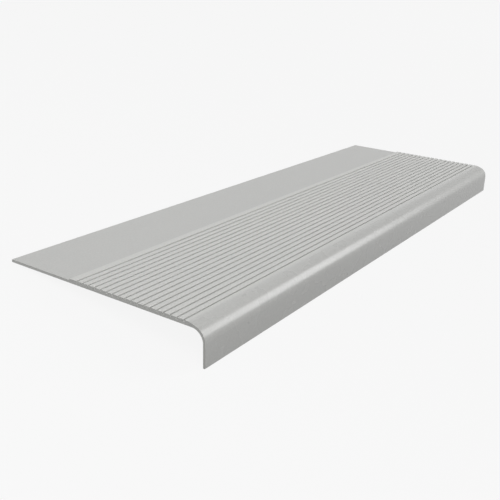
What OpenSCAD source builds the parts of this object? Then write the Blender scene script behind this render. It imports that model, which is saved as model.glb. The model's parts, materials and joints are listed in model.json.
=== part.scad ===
// Ribbed rubber stair tread: one moulded strip with the same section from end to end.
// The section is drawn in the tread's own plane: x runs from the front of the nosing to the back edge, and y
// upwards from the underside of the sheet. It is then tipped to the way the tread rests loose on a level floor,
// on the foot of its nosing and on its back edge, and extruded along the edge of the step.

/* [Tread] */
// Length of the tread, along the edge of the step
tread_l = 914.4; // [300:0.1:1830]
// Depth of the tread, from the front of the nosing to the back edge
tread_d = 311.2; // [290:0.1:460]
// Thickness of the plain sheet
sheet_t = 3.5; // [2.5:0.1:5]

/* [Nosing] */
// Height of the lip, from the underside of the sheet down to its foot
lip_h = 44.6; // [36:0.1:60]
// Thickness of the lip
lip_t = 2.8; // [2.2:0.1:5]
// Inside radius of the nosing, which beds on the edge of the step
nosing_r = 15.5; // [8:0.5:20]
// Radius of the gentle bend on top, between the ribs and the nosing
brow_r = 40; // [26:0.5:60]
// Angle through which the gentle bend turns before the nosing itself begins
brow_turn = 25; // [10:0.5:32]
// Radius that rounds the foot of the lip, front and back
foot_r = 1; // [0.2:0.1:1]

/* [Ribs] */
// Number of grooves along the tread
groove_count = 18; // [2:1:20]
// Distance from one groove to the next
groove_pitch = 9.65; // [7:0.05:10]
// Width of a groove between its straight walls
groove_w = 2.4; // [1:0.1:3]
// Depth of a groove below the rib tops
groove_depth = 2.8; // [1:0.1:3]
// Height of the rib tops above the plain sheet
rib_h = 2.1; // [1:0.1:3]
// Radius that rounds the top edges of a rib
rib_edge_r = 0.6; // [0.2:0.1:0.8]
// Width of the level land between the gentle bend and the first groove
front_land_w = 0.3; // [0.1:0.1:6]
// Width of the level land behind the last groove
back_land_w = 9.5; // [2:0.1:10]
// Width of the slope that leads from that land down to the plain sheet
slope_w = 2.2; // [2:0.1:12]

/* [Hidden] */
$fn = 96;
rubber_grey = [0.74, 0.74, 0.73];

// Length by which a cutter runs out past the faces that it cuts
clear = 0.5;
// Height by which the nosing stands proud of the gentle bend, so that the two cross in one clean line
seam = 0.005;

// Height of the rib tops above the underside of the sheet
rib_z = sheet_t + rib_h;
// Outside radius of the nosing, which is also how far the bend reaches behind the front of the lip
outer_r = lip_t + nosing_r;
// Middle of the gentle bend, whose top is level with the ribs
brow_y = outer_r + (brow_r - outer_r) * sin(brow_turn);
brow_z = rib_z - brow_r;
// Height of the middle of the nosing's outside, into which the gentle bend runs smoothly
nose_z = brow_z + (brow_r - outer_r) * cos(brow_turn) + seam;
// Middles of the first and last groove
first_groove_y = brow_y + front_land_w + rib_edge_r + groove_w / 2;
last_groove_y = first_groove_y + (groove_count - 1) * groove_pitch;
// Where the slope behind the ribs starts and ends
slope_start_y = last_groove_y + groove_w / 2 + rib_edge_r + back_land_w;
slope_end_y = slope_start_y + slope_w;

// Angle of the sheet to the floor when the foot's inner round and the back edge both touch it
foot_to_back = [tread_d - lip_t + foot_r, lip_h - foot_r];
rest_angle = atan2(foot_to_back.y, foot_to_back.x) + asin(foot_r / norm(foot_to_back));
// Front and back of the tipped section, and the height of its origin above the floor
front_y = cos(rest_angle) * foot_r - sin(rest_angle) * (lip_h - foot_r) - foot_r;
back_y = cos(rest_angle) * tread_d + sin(rest_angle) * sheet_t;
rest_z = sin(rest_angle) * tread_d;

// Slice of a disc, from straight up to an angle towards the front
module slice(r, turn) {
    intersection() {
        circle(r = r);
        polygon([[0, 0], [0, 2 * r], 2 * r * [-sin(turn), cos(turn)]]);
    }
}

// Front quarter of a disc
module quarter(r) {
    intersection() {
        circle(r = r);
        translate([-r, 0]) square(r);
    }
}

// Solid block behind the outside of the two bends, from the foot of the lip up to the rib tops
module block() {
    intersection() {
        translate([0, -lip_h]) square([tread_d, lip_h + rib_z]);
        union() {
            translate([brow_y, brow_z]) slice(brow_r, brow_turn);
            translate([outer_r, nose_z]) quarter(outer_r);
            translate([0, -lip_h]) square([tread_d, lip_h + nose_z]);
            translate([brow_y, -lip_h]) square([tread_d - brow_y, lip_h + rib_z]);
        }
    }
}

// Room under the sheet, with the round corner that beds on the edge of the step
module under_sheet() {
    translate([outer_r, -nosing_r]) circle(r = nosing_r);
    translate([outer_r, -lip_h - clear]) square([tread_d, lip_h + clear]);
    translate([lip_t, -lip_h - clear]) square([tread_d, lip_h + clear - nosing_r]);
}

// Room above the plain sheet and above the slope that leads down to it
module above_sheet() {
    polygon([
        [slope_start_y, rib_z],
        [slope_end_y, sheet_t],
        [tread_d + clear, sheet_t],
        [tread_d + clear, rib_z + clear],
        [slope_start_y, rib_z + clear]
    ]);
}

// What rounding takes off a corner that sits at the origin, with the rubber up and to the right of it
module corner_loss(r) {
    difference() {
        translate([-clear, -clear]) square(r + clear);
        translate([r, r]) circle(r = r);
    }
}

// One groove, about its own middle, with a rounded edge on each side of its mouth
module groove() {
    translate([-groove_w / 2, rib_z - groove_depth]) square([groove_w, groove_depth + clear]);
    for (side = [0, 1]) mirror([side, 0]) translate([groove_w / 2, rib_z]) mirror([0, 1]) corner_loss(rib_edge_r);
}

// The tread's section
module section() {
    difference() {
        block();
        under_sheet();
        above_sheet();
        for (i = [0 : groove_count - 1]) translate([first_groove_y + i * groove_pitch, 0]) groove();
        translate([0, -lip_h]) corner_loss(foot_r);
        translate([lip_t, -lip_h]) mirror([1, 0]) corner_loss(foot_r);
    }
}

// The tread as it rests: X along the edge of the step, nosing towards -Y, centred over the origin
module tread() {
    color(rubber_grey)
        translate([-tread_l / 2, -(front_y + back_y) / 2, rest_z])
        rotate([90, 0, 90]) linear_extrude(height = tread_l) rotate(-rest_angle) section();
}

tread();
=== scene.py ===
# %% [markdown]
# # A ribbed rubber stair tread
#
# The tread is one strip of moulded rubber: a thin plain sheet at the back, a field of ribs with narrow
# grooves between them, and a rounded nosing whose lip turns down over the edge of the step. Its shape is
# already exact in the imported frame, so this notebook keeps that shape and works on what light makes of
# it: the finish of each face, the floor it lies on, the lamps and the camera.
#
# The frame is loaded first, and its box is noted. Nothing below may make the tread any bigger.

import json
import math

import bpy
from mathutils import Matrix, Quaternion, Vector

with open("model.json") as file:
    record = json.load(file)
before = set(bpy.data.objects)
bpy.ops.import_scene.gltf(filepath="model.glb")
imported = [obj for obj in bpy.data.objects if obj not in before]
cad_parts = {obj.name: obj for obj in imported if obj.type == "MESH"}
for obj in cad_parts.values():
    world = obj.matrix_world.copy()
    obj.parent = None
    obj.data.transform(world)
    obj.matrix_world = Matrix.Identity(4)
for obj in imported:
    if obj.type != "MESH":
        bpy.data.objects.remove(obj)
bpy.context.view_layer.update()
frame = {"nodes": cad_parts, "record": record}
tread = frame["nodes"]["tread"]

# %% [markdown]
# ## The tread's own axes
#
# Loose on a floor, the tread stands on the foot of its lip and on its back edge, so its sheet slopes by
# about eight degrees. A finish follows the tread and not the floor. It needs to know how far a point lies
# above the underside of the sheet, how far behind the front of the lip, and how far along the edge of the
# step. The record's mount on the underside gives the sheet's slope. The reach of the mesh along each of
# these axes gives the rest, so no size has to be typed in again.

# %% Find the axes and the heights of the faces
mounts = {mount["name"]: mount for mount in frame["record"]["mounts"]}
up = -Vector(mounts["underside"]["axis"]).normalized()
back = Vector((1, 0, 0)).cross(up) * -1
underside_height = up.dot(Vector(mounts["underside"]["pos_m"]))

points = [vertex.co for vertex in tread.data.vertices]
half_length = max(point.x for point in points)
front_reach = min(back.dot(point) for point in points)
back_reach = max(back.dot(point) for point in points)
rib_top = max(up.dot(point) for point in points) - underside_height
lip_foot = min(up.dot(point) for point in points) - underside_height

# The sheet's thickness is the height of the top of its back edge
edge_points = [point for point in points if back.dot(point) > back_reach - 0.0001]
sheet_top = max(up.dot(point) for point in edge_points) - underside_height

# The ribbed field starts where the nosing's bend has come up level with the rib tops
level_points = [point for point in points if up.dot(point) - underside_height > rib_top - 0.00001]
field_front = min(back.dot(point) for point in level_points) - front_reach

# It ends at the foot of the slope behind the ribs, the foremost place that is level with the plain sheet
foot_points = [point for point in points if abs(up.dot(point) - underside_height - sheet_top) < 0.00001]
slope_foot = min(back.dot(point) for point in foot_points) - front_reach

print("slope", round(math.degrees(math.atan2(abs(up.y), up.z)), 2), "degrees")
print("depth", round(back_reach - front_reach, 4), "m, lip", round(-lip_foot, 4), "m")
print("sheet", round(sheet_top * 1000, 2), "mm, rib tops at", round(rib_top * 1000, 2), "mm")
field_reach = [round(place * 1000, 1) for place in (field_front, slope_foot)]
print("the ribbed field reaches from", field_reach[0], "to", field_reach[1], "mm behind the lip")

# %% [markdown]
# ## Nodes as sums
#
# A finish in Blender is a web of nodes. Written out one by one, its maths soon hides its meaning. This
# small class wraps a node's output, so that `1 - mask` or `grain * 0.3` adds the Math nodes by itself.
# Numbers that are known beforehand are worked out in Python and never become nodes.

# %% A wrapped node output
class Signal:
    """A number, colour or vector on its way through a finish's nodes."""

    def __init__(self, tree, socket=None):
        self.tree = tree
        self.socket = socket

    def node(self, kind, settings=None, sockets=None, output=0):
        """Adds a node, sets it up, then fills its sockets with values or with other signals."""
        made = self.tree.nodes.new(kind)
        for name, value in (settings or {}).items():
            setattr(made, name, value)
        for name, value in (sockets or {}).items():
            if isinstance(value, Signal):
                self.tree.links.new(value.socket, made.inputs[name])
            else:
                made.inputs[name].default_value = value
        return Signal(self.tree, made.outputs[output])

    def math(self, operation, first, second):
        return self.node("ShaderNodeMath", {"operation": operation}, {0: first, 1: second})

    def __add__(self, other):
        return self.math("ADD", self, other)

    def __radd__(self, other):
        return self.math("ADD", other, self)

    def __sub__(self, other):
        return self.math("SUBTRACT", self, other)

    def __rsub__(self, other):
        return self.math("SUBTRACT", other, self)

    def __mul__(self, other):
        return self.math("MULTIPLY", self, other)

    def __rmul__(self, other):
        return self.math("MULTIPLY", other, self)

    def size(self):
        """The number without its sign."""
        return self.math("ABSOLUTE", self, 0.0)

    def along(self, direction):
        """How far a vector reaches in a direction."""
        settings = {"operation": "DOT_PRODUCT"}
        return self.node("ShaderNodeVectorMath", settings, {0: self, 1: direction}, "Value")

    def scaled(self, factors):
        """A vector with each of its parts multiplied by its own factor."""
        return self.node("ShaderNodeVectorMath", {"operation": "MULTIPLY"}, {0: self, 1: factors})

    def rise(self, start, end):
        """0 before start, 1 after end, and a smooth rise between them."""
        sockets = {"Value": self, "From Min": start, "From Max": end}
        return self.node("ShaderNodeMapRange", {"interpolation_type": "SMOOTHSTEP"}, sockets)

    def mix(self, first, second):
        """A number that goes from first to second as this one goes from 0 to 1."""
        return first + (second - first) * self

    def noise(self, grain_size, detail=2.0):
        """Cloudy noise around 0.5 whose lumps are about grain_size metres across."""
        sockets = {"Vector": self, "Scale": 1 / grain_size, "Detail": detail}
        return self.node("ShaderNodeTexNoise", None, sockets, "Fac")

    def blend(self, first, second):
        """A colour that goes from first to second as this number goes from 0 to 1."""
        sockets = {"Factor": self, 6: first, 7: second}
        return self.node("ShaderNodeMix", {"data_type": "RGBA"}, sockets, 2)


def new_material(name):
    """An empty node material, with a signal that starts its maths and its output node."""
    material = bpy.data.materials.new(name)
    material.use_nodes = True
    tree = material.node_tree
    tree.nodes.clear()
    output = tree.nodes.new("ShaderNodeOutputMaterial")
    return material, Signal(tree), output


# %% [markdown]
# ## Where a point lies on the tread
#
# The finishes differ from face to face, and one rubber shows them all. Each mask below is a number
# between 0 and 1 that says whether a point belongs to a face. It comes from the point's place in the
# tread's own axes, so it stays sharp along the arrises and needs no unwrapped mesh. The ribbed field gets
# a mask of its own, because the nosing in front of it is smoother and a shade darker.

# %% Masks for the faces
# Depth of the layer that counts as a face's own skin
SKIN = 0.00008
# Length over which the look of the ribbed field fades out on the nosing's bend
FIELD_FADE = 0.008
# Length over which it ends at the foot of the slope
FOOT_FADE = 0.0004
# How far the nosing shares the look of the rib tops
NOSING_SHARE = 0.18
# Height below which painted shade darkens the lip towards its foot, near the floor
LIP_SHADE_HEIGHT = -0.010
# How far the inside of a groove shares the look of the rib tops, and the depth over which that look is lost
GROOVE_SHARE = 0.5
GROOVE_FADE = 0.001
# Height above the underside up to which the sanding reaches
SANDED_HEIGHT = 0.0003


def tread_places(start):
    """The point itself, and its height, depth and distance from the middle in the tread's own axes."""
    point = start.node("ShaderNodeTexCoord", None, None, "Object")
    height = point.along(up) - underside_height
    depth = point.along(back) - front_reach
    from_middle = point.along(Vector((1, 0, 0))).size()
    return point, height, depth, from_middle


def tread_masks(start, height, depth, from_middle):
    """Masks for polish with painted light, cut ends, the glued side, painted shade at the lip's foot and all
    behind the nosing.
    """
    in_field = depth.rise(field_front - FIELD_FADE, field_front)
    # The tone of the rib tops reaches down the slope behind them, which faces back: painted light from
    # behind
    before_foot = 1 - depth.rise(slope_foot - FOOT_FADE, slope_foot)
    on_top = GROOVE_SHARE + height.rise(rib_top - GROOVE_FADE, rib_top) * (1 - GROOVE_SHARE)
    # Lighter tone on the rib tops: partly polish, partly painted sheen; the nosing gets a little of it
    polish_and_painted_light = before_foot * in_field.mix(NOSING_SHARE, on_top)
    cut_end = from_middle.rise(half_length - 2 * SKIN, half_length - SKIN)
    normal = start.node("ShaderNodeNewGeometry", None, None, "Normal")
    outward = normal.along((up - back).normalized())
    glued = (1 - outward.rise(-0.1, 0.1)) * (1 - height.rise(SANDED_HEIGHT, 2 * SANDED_HEIGHT))
    # Painted shade, darker towards the lip's foot near the floor
    painted_lip_shade = 1 - height.rise(lip_foot, LIP_SHADE_HEIGHT)
    return polish_and_painted_light, cut_end, glued, painted_lip_shade, in_field


# %% [markdown]
# ## The rubber
#
# Such treads are pressed from light grey rubber between steel plates. The mould leaves a fine, dry grain
# on the plain sheet and the ribs. It polishes the rib tops a little, and the nosing most of all, so that it
# shows a streak of light. The rib tops, and the slope behind them, are a shade lighter: partly from the
# polish, partly painted sheen, and on the slope, which faces back, painted light. The insides of the grooves
# get only half of the polish and of that tone. The lip is painted darker towards its foot, as painted shade
# near the floor. The ends are cut with a knife and are duller, with faint lines across them; their darker
# grey is partly painted shade. The side that is glued down is sanded.
#
# The sheet and the ribs are rougher than the nosing for one more reason: seen low from behind, a smooth
# sheet would mirror the softboxes as a white glare, which rubber doesn't do.
#
# A picture of rubber could be wrapped around the tread, but it would blur close up. Noise in the tread's
# own coordinates has grain at every distance, and costs no memory.

# %% Colours and grains of the rubber
SHEET_GREY = (0.538, 0.540, 0.525, 1)
# Grey of the rib tops and the slope: partly polish, partly painted sheen and painted light from behind
POLISHED_AND_PAINTED_LIGHT_GREY = (0.615, 0.618, 0.597, 1)
# Grey of the knife-cut ends: partly duller rubber, partly painted shade
CUT_AND_SHADE_GREY = (0.393, 0.395, 0.382, 1)
SANDED_GREY = (0.468, 0.470, 0.453, 1)

# Sizes of the grain, the specks and the clouds in metres
FINE_GRAIN = 0.00045
SPECK = 0.0022
CLOUD = 0.035

# Roughness of the nosing, and of the ribs and the sheet, and how the other faces change it
NOSING_ROUGHNESS = 0.28
TOP_ROUGHNESS = 0.42
POLISHED_LESS = 0.03
SANDED_MORE = 0.2
CUT_MORE = 0.25
CLOUDS_MORE = 0.04

# Painted shade at the lip's foot, darker nosing, and spread of the clouds, specks and fine grain
LIP_SHADE_DEPTH = 0.06
NOSING_DARKER = 0.055
CLOUD_TONE = 0.03
SPECK_TONE = 0.17
FINE_TONE = 0.05

# Height of the moulded grain, and of the slow waves of a flexible sheet
GRAIN_HEIGHT = 0.000007
WAVE_HEIGHT = 0.00003
WAVE_LENGTH = 0.09
# Height of the knife's lines on the cut ends, and the factor that stretches them upwards
KNIFE_HEIGHT = 0.00003
KNIFE_STRETCH = 0.08
# Share of the grain that polish takes off
POLISH_LOSS = 0.4


def rubber_finish():
    """Light grey moulded rubber, with its raised, cut and sanded faces, and painted sheen, light and shade.
    """
    material, start, output = new_material("moulded_grey_rubber")
    point, height, depth, from_middle = tread_places(start)
    polish_and_painted_light, cut_end, glued, painted_lip_shade, in_field = tread_masks(start, height, depth, from_middle)

    fine = point.noise(FINE_GRAIN, 3.0)
    specks = point.noise(SPECK, 1.0)
    clouds = point.noise(CLOUD, 2.0)
    knife_lines = point.scaled(Vector((1, 1, KNIFE_STRETCH))).noise(FINE_GRAIN, 1.0)

    # Rib tops and slope lighter: partly polish, partly painted sheen and painted light
    colour = polish_and_painted_light.blend(SHEET_GREY, POLISHED_AND_PAINTED_LIGHT_GREY)
    colour = glued.blend(colour, SANDED_GREY)
    # Cut ends darker: partly duller rubber, partly painted shade
    colour = cut_end.blend(colour, CUT_AND_SHADE_GREY)
    # Painted shade at the lip's foot, and a darker nosing
    shade = 1 - painted_lip_shade * LIP_SHADE_DEPTH - (1 - in_field) * NOSING_DARKER
    grain = (clouds - 0.5) * CLOUD_TONE + (specks - 0.5) * SPECK_TONE + (fine - 0.5) * FINE_TONE
    tone = shade + grain
    colour = start.node("ShaderNodeVectorMath", {"operation": "SCALE"}, {0: colour, "Scale": tone})

    smooth = in_field.mix(NOSING_ROUGHNESS, TOP_ROUGHNESS)
    smooth = smooth - polish_and_painted_light * POLISHED_LESS + glued * SANDED_MORE
    roughness = smooth + cut_end * CUT_MORE + (clouds - 0.5) * CLOUDS_MORE

    grain_height = fine * GRAIN_HEIGHT * (1 - polish_and_painted_light * POLISH_LOSS)
    wave_height = point.noise(WAVE_LENGTH, 0.0) * WAVE_HEIGHT
    relief = grain_height + knife_lines * cut_end * KNIFE_HEIGHT + wave_height
    bump = start.node("ShaderNodeBump", None, {"Strength": 1.0, "Distance": 1.0, "Height": relief})

    sockets = {"Base Color": colour, "Roughness": roughness, "Normal": bump}
    shader = start.node("ShaderNodeBsdfPrincipled", None, sockets)
    start.tree.links.new(shader.socket, output.inputs["Surface"])
    return material


rubber = rubber_finish()
for slot in tread.material_slots:
    slot.material = rubber
print("the tread has", len(tread.material_slots), "material slot, now", rubber.name)

# %% [markdown]
# ## Floor and light
#
# The tread is shown on plain white, with soft light. The floor is pale, and wide enough to run out of
# sight, and the world behind it has the same tone, so no horizon shows. Part of what the camera sees of
# the floor glows, so that it stays even and keeps only a faint shadow.

# %% Floor
BACKGROUND_TONE = 0.930
FLOOR_SIZE = 40.0
# Share of the floor's look that comes from light falling on it, and so shows the tread's shadow
SHADOW_SHARE = 0.06
# Strength of the rest, so that both together show the background's tone
GLOW_STRENGTH = 1.016
# How much of the light that falls on the floor comes back up to the tread
BOUNCE_TONE = 0.30


def background_rays(start):
    """1 for rays from the camera and those that gloss and glass send on, which show the background."""
    kinds = ("Is Camera Ray", "Is Glossy Ray", "Is Transmission Ray")
    camera, glossy, transmitted = [start.node("ShaderNodeLightPath", None, None, kind) for kind in kinds]
    return camera + glossy + transmitted


def make_floor():
    """A wide pale floor at the height of the tread's foot."""
    half = FLOOR_SIZE / 2
    mesh = bpy.data.meshes.new("floor")
    corners = [(-half, -half, 0), (half, -half, 0), (half, half, 0), (-half, half, 0)]
    mesh.from_pydata(corners, [], [(0, 1, 2, 3)])
    floor = bpy.data.objects.new("floor", mesh)
    bpy.context.scene.collection.objects.link(floor)

    material, start, output = new_material("pale_floor")
    tone = (BACKGROUND_TONE, BACKGROUND_TONE, BACKGROUND_TONE, 1)
    bounce = start.node("ShaderNodeBsdfDiffuse", None, {"Color": (BOUNCE_TONE, BOUNCE_TONE, BOUNCE_TONE, 1)})
    lit = start.node("ShaderNodeBsdfDiffuse", None, {"Color": tone})
    glow = start.node("ShaderNodeEmission", None, {"Color": tone, "Strength": GLOW_STRENGTH})
    shown = start.node("ShaderNodeMixShader", None, {0: SHADOW_SHARE, 1: glow, 2: lit})
    mixed = start.node("ShaderNodeMixShader", None, {0: background_rays(start), 1: bounce, 2: shown})
    start.tree.links.new(mixed.socket, output.inputs["Surface"])
    mesh.materials.append(material)
    return floor


floor = make_floor()

# %% World
SKY_STRENGTH = 0.15


def make_world():
    """A soft even sky that lights the tread, and shows as the floor's own tone behind it."""
    world = bpy.data.worlds.new("soft_white")
    world.use_nodes = True
    tree = world.node_tree
    tree.nodes.clear()
    start = Signal(tree)
    tone = (BACKGROUND_TONE, BACKGROUND_TONE, BACKGROUND_TONE, 1)
    sky = start.node("ShaderNodeBackground", None, {"Color": (1, 1, 1, 1), "Strength": SKY_STRENGTH})
    backdrop = start.node("ShaderNodeBackground", None, {"Color": tone, "Strength": 1.0})
    mixed = start.node("ShaderNodeMixShader", None, {0: background_rays(start), 1: sky, 2: backdrop})
    output = tree.nodes.new("ShaderNodeOutputWorld")
    tree.links.new(mixed.socket, output.inputs["Surface"])
    bpy.context.scene.world = world


make_world()

# %% [markdown]
# ## Lamps
#
# A satin rubber shows its shape by what it mirrors. The bright streak along the nosing is a tall softbox,
# far away in front of the tread and to its right. It ends before the far end of the nosing, because the
# softbox is narrow. Three smaller softboxes near the left end light the knife-cut face and the lip there,
# and fade along the tread. They are left out of mirror images, which would show as glare from the right.
# A broad sun from high in front lights the top evenly, a weak one fills in from behind, and the sky does
# the rest.
#
# A sun would do for all of them, but its light doesn't fade with distance, and its mirror image is round.

# %% Suns
SUN_SOFTNESS = 40


def make_sun(name, strength, azimuth, elevation):
    """A lamp so far away that its light is even, from an azimuth counted from +X towards +Y."""
    lamp = bpy.data.lights.new(name, "SUN")
    lamp.energy = strength
    lamp.angle = math.radians(SUN_SOFTNESS)
    holder = bpy.data.objects.new(name, lamp)
    level = math.cos(math.radians(elevation))
    across = math.cos(math.radians(azimuth)) * level
    deep = math.sin(math.radians(azimuth)) * level
    high = math.sin(math.radians(elevation))
    holder.rotation_mode = "QUATERNION"
    holder.rotation_quaternion = Vector((across, deep, high)).to_track_quat("Z", "Y")
    bpy.context.scene.collection.objects.link(holder)
    return holder


make_sun("high_light", 0.82, 225, 70)
make_sun("back_light", 0.16, 35, 15)


# %% Softboxes
def make_softbox(name, place, aim, upright, width, height, radiance):
    """A flat rectangular lamp at a place, turned to what it aims at, whose height runs along upright."""
    towards = (place - aim).normalized()
    side = upright.cross(towards).normalized()
    lamp = bpy.data.lights.new(name, "AREA")
    lamp.shape = "RECTANGLE"
    lamp.size = width
    lamp.size_y = height
    lamp.energy = radiance * math.pi * width * height
    holder = bpy.data.objects.new(name, lamp)
    holder.location = place
    holder.rotation_mode = "QUATERNION"
    holder.rotation_quaternion = Matrix((side, towards.cross(side), towards)).transposed().to_quaternion()
    holder.visible_camera = False
    bpy.context.scene.collection.objects.link(holder)
    print(name, round(width, 2), "by", round(height, 2), "m,", round(lamp.energy, 1), "W")
    return holder


# The softbox of the streak: its turn to the right of the tread's cross-section and its rise above the sheet
STREAK_TURN = math.radians(47.5)
STREAK_RISE = math.radians(33.5)
STREAK_HALF_WIDTH = math.radians(11)
STREAK_HALF_HEIGHT = math.radians(16)
STREAK_DISTANCE = 10.0
STREAK_RADIANCE = 5.3

along = Vector((1, 0, 0))
in_front = up * math.sin(STREAK_RISE) - back * math.cos(STREAK_RISE)
streak_place = (along * math.sin(STREAK_TURN) + in_front * math.cos(STREAK_TURN)) * STREAK_DISTANCE
streak_upright = back * math.sin(STREAK_RISE) + up * math.cos(STREAK_RISE)
streak_width = 2 * STREAK_DISTANCE * math.tan(STREAK_HALF_WIDTH)
streak_height = 2 * STREAK_DISTANCE * math.tan(STREAK_HALF_HEIGHT)
streak_shape = (streak_upright, streak_width, streak_height, STREAK_RADIANCE)
make_softbox("streak_softbox", streak_place, Vector((0, 0, 0)), *streak_shape)

# The softboxes near the left end, all of one size, which light the rubber without a mirror image in it
NEAR_WIDTH = 0.9
NEAR_HEIGHT = 0.7
LEFT_AIM = Vector((-0.35, 0, 0.02))
for name, place, radiance in (
    ("left_back_softbox", (-1.7, 0.6, 0.35), 3.40),
    ("left_front_softbox", (-1.4, -0.9, 0.6), 1.90),
    ("left_high_softbox", (-1.3, 0.0, 1.3), 2.20),
):
    left_shape = (Vector((0, 0, 1)), NEAR_WIDTH, NEAR_HEIGHT, radiance)
    softbox = make_softbox(name, Vector(place), LEFT_AIM, *left_shape)
    softbox.visible_glossy = False

# %% [markdown]
# ## Camera
#
# The camera stands in front of the nosing and to the left, and looks down on the tread. Its place and
# angles come from matching the tread's long edges, corners and grooves to the photograph. The sheet
# slopes here, and it is nearly level in the picture, so the camera leans to one side.

# %% Camera
PICTURE_SIZE = 500
SENSOR_WIDTH = 36.0
FOCAL_PIXELS = 700.7
MIDDLE_PIXEL = (304.5, 250.3)
CAMERA_PLACE = (-0.9650, -0.5170, 0.4453)
CAMERA_AZIMUTH = -62.11
CAMERA_ELEVATION = 24.84
CAMERA_ROLL = 10.80


def make_camera():
    """A camera on the photograph's viewpoint."""
    camera = bpy.data.cameras.new("camera")
    camera.sensor_width = SENSOR_WIDTH
    camera.lens = FOCAL_PIXELS / PICTURE_SIZE * SENSOR_WIDTH
    camera.shift_x = (PICTURE_SIZE / 2 - MIDDLE_PIXEL[0]) / PICTURE_SIZE
    camera.shift_y = (MIDDLE_PIXEL[1] - PICTURE_SIZE / 2) / PICTURE_SIZE
    camera.clip_start = 0.01
    azimuth = math.radians(CAMERA_AZIMUTH)
    elevation = math.radians(CAMERA_ELEVATION)
    level = math.cos(elevation)
    look = Vector((-math.sin(azimuth) * level, math.cos(azimuth) * level, -math.sin(elevation)))
    holder = bpy.data.objects.new("camera", camera)
    holder.location = CAMERA_PLACE
    holder.rotation_mode = "QUATERNION"
    lean = Quaternion((0, 0, 1), math.radians(CAMERA_ROLL))
    holder.rotation_quaternion = look.to_track_quat("-Z", "Y") @ lean
    bpy.context.scene.collection.objects.link(holder)
    bpy.context.scene.camera = holder
    return holder


camera = make_camera()
bpy.context.scene.view_settings.view_transform = "Standard"
print("the lens is", round(camera.data.lens, 2), "mm")
